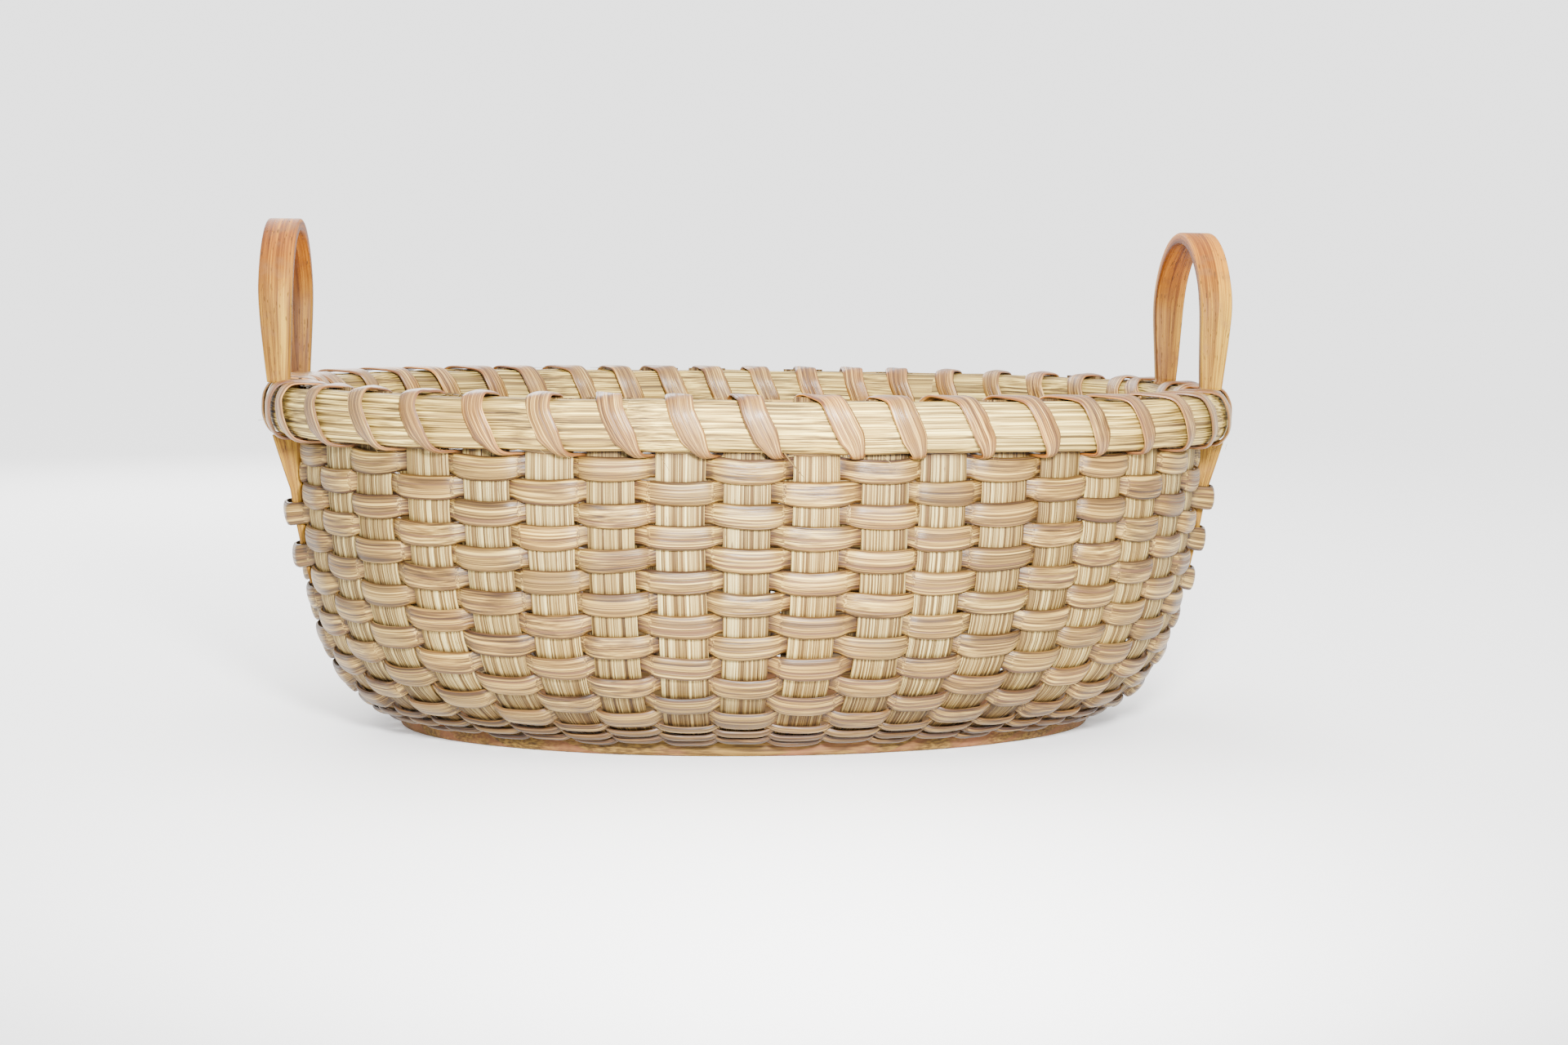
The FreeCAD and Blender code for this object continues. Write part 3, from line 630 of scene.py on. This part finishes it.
# a row that passes over one stake and under the next
def weave(name, node, rowNumber, distance, width, thickness, section, proudShare, perPitch=16):
    count = wall["stakes"]
    number = np.arange(count * perPitch) / perPitch
    angle = pitchAngle(number)
    sway = smoothNoise(number, 9.0, 5, count) + 0.5 * smoothNoise(number, 7.0, 5 + rowNumber // 4, count)
    sag = weaver["sag"] * np.cos(math.pi * (number - rowNumber)) * np.interp(distance, [0, 0.05], [0.5, 1])
    wander = 0.7 * sway + 0.3 * smoothNoise(number, 2.6, rowNumber + 30, count)
    run = distance - sag + weaver["wander"] * wander
    point, up, out, _ = wallFrame(angle, run)
    nearest = np.round(number).astype(int)
    over = np.where((nearest + rowNumber) % 2 == 0, 1.0, -1.0)
    bow = np.cos(math.pi * (number - nearest))
    side = np.tanh(weaver["snap"] * (over * bow + weaver["late"])) / math.tanh(weaver["snap"])
    lift = stake["thickness"] / 2 + thickness / 2 + 0.0001
    uneven = weaver["unevenProud"] * smoothNoise(number, 2.0, rowNumber + 60, count)
    proud = thickness * (proudShare + uneven)
    shift = side * lift + np.where(side > 0, proud, weaver["insideProud"] * proud) * side
    height = point[:, 2]
    depth = tailDepth(height)
    caught = (depth > 0) & (height < tail["neckHeight"])
    onTail = np.isin(nearest % count, tailStakes)
    swell = np.clip(np.cos(math.pi * np.clip((number - nearest) * 1.25, -0.5, 0.5)) * 1.6, 0, 1)
    shift = shift + np.where(onTail & caught & (over > 0), (depth + tail["room"]) * swell, 0)
    under = np.where(onTail & (depth > 0) & ~caught & (over > 0), 1.0, 0.0) * swell
    shift = shift * (1 - under) - lift * under
    grow = np.where(side > 0, side, 0.8 * np.abs(side) ** 0.6)
    eachWidth = 1 + weaver["unevenWidth"] * smoothNoise(number, 2.0, rowNumber + 90, count)
    widths = width * (1 + weaver["swell"] * grow) * eachWidth
    length = lengthRun(point)
    # keeps the row full where it turns
    steep = np.minimum(np.hypot(1, np.gradient(shift, length)), weaver["steepest"])
    eachThickness = 1 + weaver["unevenThickness"] * smoothNoise(number, 3.0, rowNumber + 150, count)
    tilt = weaver["lean"] * smoothNoise(number, 3.1, rowNumber + 120, count)
    sideways = unit(up + out * tilt[:, None])
    grid = sweep(point + out * shift[:, None], sideways, unit(out - up * tilt[:, None]), section, widths,
                 thickness * steep * eachThickness)
    overTone = np.random.default_rng(rowNumber).standard_normal(count)[nearest % count]
    tone = 0.35 * overTone + 0.45 * smoothNoise(number, 6.0, rowNumber + 200, count)
    # painted shade: where the row passes behind a stake, on its inner face where it lies on one, down at
    # the board and along its long edges
    isInside = section[:, 1] < -0.4
    deep = np.clip(0.35 + side[:, None] * np.where(isInside, 1, -1), 0, 0.95)
    footShade = weaver["footShade"] * np.clip(1 - distance / weaver["footShadow"], 0, 1)
    foot = footShade * np.where(isInside, 0.5, 1)
    ends = np.maximum(deep, foot)
    edges = weaver["edgeShade"] * (np.abs(section[:, 0]) > 0.46)
    strips = Strips(name)
    strips.add(grid, length, perimeter(section, width, thickness), tone[:, None],
               np.clip(ends + edges[None], 0, 1), closed=True)
    strips.finish(weaverReed, "weaver_reed", node)


ovalSection = flatOval()
for k, middle in enumerate(rowMiddles):
    isLocking = k < locking["rows"]
    number = k + 1 if isLocking else k + 1 - locking["rows"]
    width = locking["width"] * 1.04 if isLocking else weaverPitch - weaver["gap"]
    proud = locking["proud"] if isLocking else weaver["proud"]
    thickness = locking["thickness"] if isLocking else weaver["thickness"]
    node = f"locking_row_{number}" if isLocking else f"weaver_row_{number:02d}"
    weave(node.replace("row", "strand"), node, k + 1, middle, width, thickness, ovalSection, proud)
weave("rim_strand", "rim_row", len(rowMiddles) + 1, bendLength + rimRow["middle"], rimRow["width"],
      rimRow["thickness"], flatStrip(), 0.0)
print("rows woven")

# rims

rim = {
    "steps": 720,
    "outerSeam": math.radians(254),  # where a rim's two ends overlap
    "innerSeam": math.radians(60),
    "seamStep": 0.0011,
    "seamRun": 0.07,
    "outerRoom": (0.0104, 0.0024),  # from the wall's middle to its back, at the ends and the sides
    "innerRoom": 0.0024,
    "outerThickness": 0.0086,
    "innerThickness": 0.008,
    "unevenThickness": 0.07,
    "wobble": 0.0006,
}
outerFace = tuple(room + rim["outerThickness"] for room in rim["outerRoom"])
innerFace = -rim["innerRoom"] - rim["innerThickness"]


def rimXY(angle, endRoom, sideRoom):
    return ovalXY(angle, wall["endFlare"] + endRoom, wall["sideFlare"] + sideRoom)


# half round: heights as shares of the rim, and how far each stands out from its flat back
def rimSection(points=13):
    t = np.linspace(0, math.pi, points)
    dome = np.stack([0.5 - 0.5 * np.cos(t), 0.12 + 0.88 * np.sin(t) ** 0.8], 1)
    back = np.array([(0.98, 0.0), (0.7, 0.0), (0.3, 0.0), (0.02, 0.0)])
    return np.concatenate([dome, back])


def makeRim(name, node, endRoom, sideRoom, thickness, seamAt, seed):
    angle = seamAt + np.linspace(0, 2 * math.pi, rim["steps"], endpoint=False)
    section = rimSection()
    x, y = rimXY(angle, endRoom, sideRoom)
    run = lengthRun(np.stack([x, y], 1))
    full = run[-1] + run[1]
    step = np.clip(1 - run / rim["seamRun"], 0, 1) ** 2 * rim["seamStep"]
    thick = np.abs(thickness) * (1 + rim["unevenThickness"] * smoothNoise(run, 0.11, seed, full)) + step
    wobble = rim["wobble"] * smoothNoise(run, 0.16, seed + 1, full)
    under = rimUnder + 0.0007 * smoothNoise(run, 0.13, seed + 2, full) - step * 0.3
    top = rimTop + 0.0006 * smoothNoise(run, 0.10, seed + 3, full) - 0.0004
    grid = np.zeros((len(angle), len(section), 3))
    for k, (share, swell) in enumerate(section):
        reach = math.copysign(1, thickness) * swell * thick + wobble
        px, py = rimXY(angle, endRoom + reach, sideRoom + reach)
        grid[:, k] = np.stack([px, py, under + (top - under) * share], 1)
    scaled = section * (rimTop - rimUnder, abs(thickness))
    across = np.concatenate([[0], np.cumsum(np.hypot(*np.diff(scaled, axis=0).T))])
    tone = 0.5 * smoothNoise(run, 0.19, seed + 4, full)
    # painted shade along the rim's bottom edge, its top edge and its flat back against the wall
    edge = 0.75 * (section[:, 0] < 0.05) + 0.3 * (section[:, 0] > 0.97) + 0.4 * (section[:, 1] < 0.1)
    strips = Strips(name)
    if thickness > 0:
        grid = grid[:, ::-1]
        across = across[-1] - across[::-1]
        edge = edge[::-1]
    strips.add(grid, run, across, tone[:, None], np.clip(edge, 0, 1)[None], closed=True)
    strips.finish(rimReed, "rim_reed", node)


makeRim("rim_outer_band", "outer_rim", *rim["outerRoom"], rim["outerThickness"], rim["outerSeam"], 400)
makeRim("rim_inner_band", "inner_rim", -rim["innerRoom"], -rim["innerRoom"], -rim["innerThickness"],
        rim["innerSeam"], 420)
print("rims made")

# lashing

lashing = {
    "width": 0.0140,
    "neck": 0.0072,  # its width where it is pulled through the wall
    "thickness": 0.0019,
    "unevenStart": 0.06,
    "unevenWidth": 0.07,
    "edgeShade": 0.45,
    # share of the way to the next stake, from the inner rim's face (0) to the outer's (1), height
    # from the rims' underside (0) to their top (1), and the way it faces: outward, then up
    "turn": (
        (0.00, 0.50, 1.02, 0.0, 1.0), (0.08, 0.84, 0.99, 0.6, 0.8), (0.15, 1.00, 0.76, 1.0, 0.2),
        (0.24, 1.03, 0.50, 1.0, 0.0), (0.34, 1.00, 0.24, 1.0, -0.2), (0.44, 0.84, 0.0, 0.6, -0.8),
        (0.50, 0.50, -0.03, 0.0, -1.0), (0.56, 0.16, 0.0, -0.6, -0.8), (0.64, 0.00, 0.24, -1.0, -0.2),
        (0.74, -0.03, 0.50, -1.0, 0.0), (0.84, 0.00, 0.76, -1.0, 0.2), (0.92, 0.16, 0.99, -0.6, 0.8),
    ),
    # how free each part is to lean
    "slack": (0.5, 0.8, 1.0, 1.0, 1.0, 0.8, 0.6, 0.5, 0.5, 0.5, 0.5, 0.5),
    # how much later it crosses beside a handle's leg
    "delay": (0.42, 0.38, 0.32, 0.23, 0.15, 0.09, 0.06, 0.04, 0.04, 0.12, 0.30, 0.44),
}


def makeLashing(perStep=5):
    count, turn = wall["stakes"], np.array(lashing["turn"])
    delay = np.array(lashing["delay"])
    rows = []
    for i in range(count):
        start = lashing["unevenStart"] * rng.standard_normal()
        for k, (run, across, share, outward, upward) in enumerate(turn):
            beside = i if run < 0.5 else i + 1
            late = delay[k] if beside % count in tailStakes else start * lashing["slack"][k]
            rows.append((i + run + late, across, share, outward, upward))
    rows = np.array(rows)
    fine = np.arange(len(rows) * perStep) / perStep

    def spline(values, closing=0.0):
        padded = np.concatenate([values[-2:] - closing, values, values[:3] + closing])
        base = np.floor(fine).astype(int)
        t = fine - base
        p0, p1, p2, p3 = (padded[base + k + 1] for k in range(4))
        return 0.5 * (2 * p1 + (p2 - p0) * t + (2 * p0 - 5 * p1 + 4 * p2 - p3) * t ** 2
                      + (3 * p1 - p0 - 3 * p2 + p3) * t ** 3)

    number = spline(rows[:, 0], count)
    across, share, outward, upward = (spline(rows[:, c]) for c in range(1, 5))
    angle = pitchAngle(number)
    inside = np.stack(rimXY(angle, innerFace, innerFace), 1)
    outside = np.stack(rimXY(angle, *outerFace), 1)
    facing = unit(outside - inside)
    point = np.concatenate([inside + (outside - inside) * across[:, None],
                            (rimUnder + (rimTop - rimUnder) * share)[:, None]], 1)
    out = unit(np.concatenate([facing * outward[:, None], upward[:, None]], 1))
    point = point + out * (lashing["thickness"] / 2 + 0.0003)
    along = unit(np.roll(point, -1, axis=0) - np.roll(point, 1, axis=0))
    sideways = unit(np.cross(out, along))
    out = unit(np.cross(along, sideways))
    tightness = np.clip(1 - np.abs(share) * 3.2, 0, 1)
    width = lashing["width"] * (1 - tightness) + lashing["neck"] * tightness
    width = width * (1 + lashing["unevenWidth"] * smoothNoise(number, 2.7, 500, count))
    section = flatOval(9, 0.25)
    grid = sweep(point, sideways, out, section, width, lashing["thickness"])
    tone = 0.4 * smoothNoise(number, 1.9, 520, count)
    # painted shade, darker and more orange where it bends round the rims' top and bottom, and along its
    # long edges
    deep = np.clip((share - 0.9) * 5, 0, 0.55) + np.clip(0.5 - share * 4, 0, 0.7)
    edges = lashing["edgeShade"] * (np.abs(section[:, 0]) > 0.46)
    strips = Strips("rim_binding")
    strips.add(grid, lengthRun(point), perimeter(section, lashing["width"], lashing["thickness"]),
               tone[:, None], np.clip(deep[:, None] + edges[None], 0, 1), closed=True)
    strips.finish(lashingReed, "lashing_reed", "rim_lashing")


makeLashing()
print("rims lashed")

# board

board = {"steps": 480, "edgeRound": 0.0025, "slotDepth": 0.012, "slotEase": 0.0006, "wobble": 0.0004,
         "rings": (0.06, 0.03)}  # how far inside its edge the flat faces have a ring of points


def makeBoard():
    r, lip, top = board["edgeRound"], wall["slotLip"], boardHigh.z
    slotTop, ease, deepest = lip + wall["slotHeight"], board["slotEase"], -board["slotDepth"]
    farRing, nearRing = (-inset for inset in board["rings"])
    # each profile point's third number is how much painted shade it gets: full inside the slot, a little at
    # its mouth
    profile = [(farRing, 0.0, 0), (nearRing, 0.0, 0), (-r, 0.0, 0)]
    profile += [(-r + r * math.sin(t), r - r * math.cos(t), 0) for t in np.linspace(0.2, math.pi / 2, 5)]
    profile += [(0.0, lip - ease, 0), (-ease, lip, 0.2), (-0.004, lip, 1), (deepest, lip, 1)]
    profile += [(deepest, slotTop, 1), (-0.004, slotTop, 1), (-ease, slotTop, 0.2),
                (0.0, slotTop + ease, 0)]
    quarter = np.linspace(0, math.pi / 2, 5)
    profile += [(-r + r * math.cos(t), top - r + r * math.sin(t), 0) for t in quarter]
    profile += [(nearRing, top, 0), (farRing, top, 0)]
    angle = np.linspace(0, 2 * math.pi, board["steps"], endpoint=False)
    wobble = board["wobble"] * smoothNoise(angle, 0.9, 610, 2 * math.pi)
    rows = []
    for offset, height, _ in profile:
        x, y = ovalXY(angle, offset + wobble, offset + wobble)
        rows.append(np.stack([x, y, np.full_like(x, height)], 1))
    inner = []
    for height in (0.0, top):
        for share in (0.6, 0.25):
            x, y = ovalXY(angle, farRing, farRing)
            inner.append(np.stack([x * share, y * share, np.full_like(x, height)], 1))
    rows = inner[:2][::-1] + rows + inner[2:]
    grid = np.stack(rows, 0)[::-1]
    deep = np.array([0, 0] + [d for *_, d in profile] + [0, 0], dtype=float)[::-1]
    strips = Strips("board")
    strips.add(grid, np.arange(len(rows)) * 0.01, angle * 0.2, 0.0, deep[:, None])
    strips.finish(boardGrain, "board_wood", "base_board")


makeBoard()

# handles

handle = {
    "strip": 0.019,  # its width over the loop
    "thickness": 0.007,
    "tongue": 0.0070,  # its width behind the outer rim
    "waist": 0.0042,  # how much narrower each leg's outer side is just above the rims
    "waistRun": 0.055,
    "legBow": 0.0022,
    "round": 0.0016,  # of its edges
    "tipThickness": 0.0035,
    "tipRun": 0.03,
}


# how far out the wall's outside face stands at this height, where the tail lies on it
def handleInner(height, stakeNumber):
    distance = np.interp(height, bendCurve[:, 1], bendRun)
    distance = np.where(height > rimUnder, bendLength, distance)
    point = wallPoint(pitchAngle(float(stakeNumber)), distance)
    return np.abs(point[..., 0]) + stake["thickness"] / 2


def makeHandle(name, node, side):
    low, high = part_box(node)
    outerX = max(abs(low.x), abs(high.x))
    legY = high.y - handle["thickness"] / 2
    topZ = high.z - handle["thickness"] / 2
    centreZ = topZ - legY
    foot = tail["endHeight"]
    legHeights = np.concatenate([np.linspace(foot, rimUnder - 0.001, 40), np.linspace(rimUnder, rimTop, 5),
                                 np.linspace(rimTop + 0.001, centreZ, 24)])
    arc = np.linspace(0, math.pi, 61)[1:-1]
    leg = np.full_like(legHeights, legY)
    y = np.concatenate([leg, legY * np.cos(arc), -leg])
    z = np.concatenate([legHeights, centreZ + legY * np.sin(arc), legHeights[::-1]])
    bowOut = handle["legBow"] * np.clip(np.sin((z - rimTop) / (topZ - rimTop) * math.pi), 0, 1) ** 2
    y = y + np.sign(y) * bowOut
    stripInner = outerX - handle["strip"]
    lowest = handleInner(np.minimum(z, rimUnder), 1)
    legInner = lowest.max()
    above = z > rimTop
    within = (z >= rimUnder) & ~above
    waist = handle["waist"] * np.clip(1 - (z - rimTop) / handle["waistRun"], 0, 1) ** 1.4
    inner = np.where(above, stripInner + waist * 0.55, np.where(within, legInner, lowest))
    outer = np.where(within, legInner + handle["tongue"], lowest + tailDepth(z))
    outer = np.where(above, outerX - waist, outer)
    centre = np.stack([side * (inner + outer) / 2, y, z], 1)
    along = unit(np.gradient(centre, axis=0) * (0, 1, 1))
    sideways = np.tile((float(side), 0, 0), (len(z), 1))
    out = unit(np.cross(sideways, along)) * side
    t = np.array([0.09, 0.28, 0.5, 0.72, 0.91]) * math.pi / 2
    width = outer - inner
    thick = np.interp(z, [foot, foot + handle["tipRun"]], [handle["tipThickness"], handle["thickness"]])
    thick = thick * (1 + 0.04 * smoothNoise(lengthRun(centre), 0.05, 700 + side))
    corner = np.minimum(handle["round"], 0.45 * np.minimum(width, thick))
    grid = []
    for sx, sy in ((1, 1), (-1, 1), (-1, -1), (1, -1)):
        turns = t if sx * sy < 0 else t[::-1]
        for turn in turns[::-1]:
            a = sx * (width / 2 - corner * (1 - math.cos(turn)))
            b = sy * (thick / 2 - corner * (1 - math.sin(turn)))
            grid.append(centre + sideways * a[:, None] + out * b[:, None])
    grid = np.stack(grid, 1)
    # the loop's inner face gets painted shade
    underside = np.repeat([1.0, 1.0, 0.0, 0.0], len(t))
    if side < 0:
        grid = grid[:, ::-1]
        underside = underside[::-1]
    ring = np.concatenate([[0], np.cumsum(np.linalg.norm(np.diff(grid[len(z) // 2], axis=0), axis=1))])
    worn = np.clip((z - rimTop - 0.03) / (topZ - rimTop - 0.03), 0, 1)
    strips = Strips(name)
    strips.add(grid, lengthRun(centre), ring, worn[:, None], underside[None])
    strips.finish(handleGrain, "handle_wood", node)


makeHandle("handle_right", "right_handle", 1)
makeHandle("handle_left", "left_handle", -1)
print("board and handles made")

# stray fibres

stray = {
    "hairs": 34,
    "shreds": 62,
    "thickness": 0.00022,
    "ragged": (229, 235),  # degrees round the rims where the filling is torn
    "raggedShreds": 18,
    "spread": 0.0018,
    "shredLength": (0.008, 0.02),
    "shredWidth": (0.0006, 0.0016),
    "hairLength": (0.004, 0.012),
    "curl": 0.25,
    "highest": 0.0012,  # how far a shred stands above the rims
    "grainStep": 0.0003,
    "outline": ((0.5, 0.0), (0.0, 0.5), (-0.5, 0.0), (0.0, -0.5)),
}
# one split end that hangs out from under the front of the outer rim
sliver = {
    "place": 0.002,
    "proud": 0.0125,
    "tucked": 0.001,
    "hang": (0.0095, -0.002, -0.014),
    "curl": (0.001, 0, 0.001),
    "length": 0.017,
    "width": 0.0011,
    "thickness": 0.0005,
    "tone": 1.5,
}


def makeSliver(strips, section):
    steps = np.linspace(0, 1, 7)
    front = -boardY - wall["sideFlare"] - sliver["proud"]
    start = np.array((sliver["place"], front, rimUnder + sliver["tucked"]))
    path = start + steps[:, None] * np.array(sliver["hang"]) + (steps ** 2)[:, None] * sliver["curl"]
    along = unit(np.gradient(path, axis=0))
    sideways = unit(np.cross(along, (0.0, 1.0, 0.0)))
    width = sliver["width"] * np.interp(steps, [0, 0.5, 1], [1, 0.9, 0.15])
    grid = sweep(path, sideways, np.cross(sideways, along), section, width, sliver["thickness"])
    strips.add(grid, steps * sliver["length"], np.arange(4) * stray["grainStep"], sliver["tone"], 0.0)


# split ends that stand off the rims, and shreds of the stakes' cut tops between them
def makeStray():
    strips = Strips("stray_fibres")
    section = np.array(stray["outline"])
    for k in range(stray["hairs"] + stray["shreds"]):
        isShred = k >= stray["hairs"]
        angle = rng.random() * 2 * math.pi
        if k >= stray["hairs"] + stray["shreds"] - stray["raggedShreds"]:
            angle = math.radians(rng.uniform(*stray["ragged"]))
        steps = np.linspace(0, 1, 7)
        if isShred:
            reach = rng.uniform(-stray["spread"], stray["spread"])
            x, y = rimXY(angle, reach, reach)
            start = np.array((x, y, rimTop - 0.002))
            turn = np.array((-math.sin(angle), math.cos(angle), rng.uniform(0.05, 0.35)))
            length, width = rng.uniform(*stray["shredLength"]), rng.uniform(*stray["shredWidth"])
        else:
            reach = outerFace[1] if abs(math.cos(angle)) < 0.8 else outerFace[0]
            x, y = rimXY(angle, reach, reach)
            start = np.array((x, y, rimUnder + rng.uniform(-0.001, 0.004)))
            turn = np.array((rng.uniform(-1, 1), rng.uniform(-1, 1), rng.uniform(-1.2, 0.1)))
            length, width = rng.uniform(*stray["hairLength"]), stray["thickness"]
        turn = turn / np.linalg.norm(turn)
        bend = rng.uniform(-1, 1, 3) * length * stray["curl"]
        path = start + steps[:, None] * turn * length + steps[:, None] ** 2 * bend
        if isShred:
            path[:, 2] = np.minimum(path[:, 2], rimTop + stray["highest"])
        along = unit(np.gradient(path, axis=0))
        sideways = unit(np.cross(along, (0.3, 0.2, 1.0)))
        taper = np.interp(steps, [0, 0.6, 1], [1, 0.8, 0.1])
        grid = sweep(path, sideways, np.cross(sideways, along), section, width * taper, stray["thickness"])
        tone = rng.standard_normal() * 0.5
        strips.add(grid, steps * length, np.arange(4) * stray["grainStep"], tone, 0.1)
    makeSliver(strips, section)
    strips.finish(stakeReed, "stake_reed")


makeStray()

# floor, light and camera

studio = {
    "turn": 5.92,  # degrees that the basket stands turned from the camera's square view
    "side": 0.0203,
    "distance": 1.281,
    "height": 0.2742,
    "tilt": 6.79,
    "roll": 0.79,
    "lens": 48.8,
    "fill": 2.6,
    "floorGlow": 0.08,  # share of the fill, so that the floor stays pale
    "floorReach": 12,
    # each lamp's name, place, what it points at, size, watts and spread in degrees
    "lamps": (
        ("front_light", (0.02, -0.86, 0.40), (0.0, 0, 0.13), 0.14, 9.5, 90),
        ("back_light", (-0.5, 1.4, 0.9), (0, 0, 0.1), 1.0, 22, 180),
        ("top_light", (-0.1, 0.2, 1.6), (0, 0, 0.1), 0.9, 10, 180),
    ),
}


def softLight(name, place, target, size, power, spread):
    data = bpy.data.lights.new(name, "AREA")
    data.shape = "DISK"
    data.size = size
    data.energy = power
    data.spread = math.radians(spread)
    lamp = bpy.data.objects.new(name, data)
    lamp.location = place
    lamp.rotation_euler = (Vector(target) - Vector(place)).to_track_quat("-Z", "Y").to_euler()
    lamp.visible_camera = False
    bpy.context.scene.collection.objects.link(lamp)


def makeStudio():
    paint = Shader("studioFloor")
    surface = paint.node("ShaderNodeBsdfPrincipled", {}, {
        "Base Color": (0.92, 0.92, 0.92), "Roughness": 0.9, "Emission Color": (1, 1, 1),
        "Emission Strength": studio["fill"] * studio["floorGlow"],
    })
    paint.node("ShaderNodeOutputMaterial", {}, {"Surface": surface})
    mesh = bpy.data.meshes.new("studio_floor")
    far = studio["floorReach"]
    mesh.from_pydata([(-far, -far, 0), (far, -far, 0), (far, far, 0), (-far, far, 0)], [], [(0, 1, 2, 3)])
    mesh.materials.append(paint.material)
    floor = bpy.data.objects.new("studio_floor", mesh)
    bpy.context.scene.collection.objects.link(floor)
    world = bpy.data.worlds.new("studio")
    world.use_nodes = True
    world.node_tree.nodes["Background"].inputs["Color"].default_value = (1, 1, 1, 1)
    world.node_tree.nodes["Background"].inputs["Strength"].default_value = studio["fill"]
    bpy.context.scene.world = world
    for lamp in studio["lamps"]:
        softLight(*lamp)


def makeCamera():
    turn = math.radians(studio["turn"])
    back = Matrix.Rotation(-turn, 4, "Z")
    data = bpy.data.cameras.new("camera")
    data.lens = studio["lens"]
    data.sensor_width = 36
    camera = bpy.data.objects.new("camera", data)
    look = (Matrix.Rotation(math.radians(90 - studio["tilt"]), 4, "X")
            @ Matrix.Rotation(math.radians(studio["roll"]), 4, "Z"))
    place = Matrix.Translation((studio["side"], -studio["distance"], studio["height"]))
    camera.matrix_world = back @ place @ look
    bpy.context.scene.collection.objects.link(camera)
    bpy.context.scene.camera = camera


makeStudio()
makeCamera()
print("studio ready")
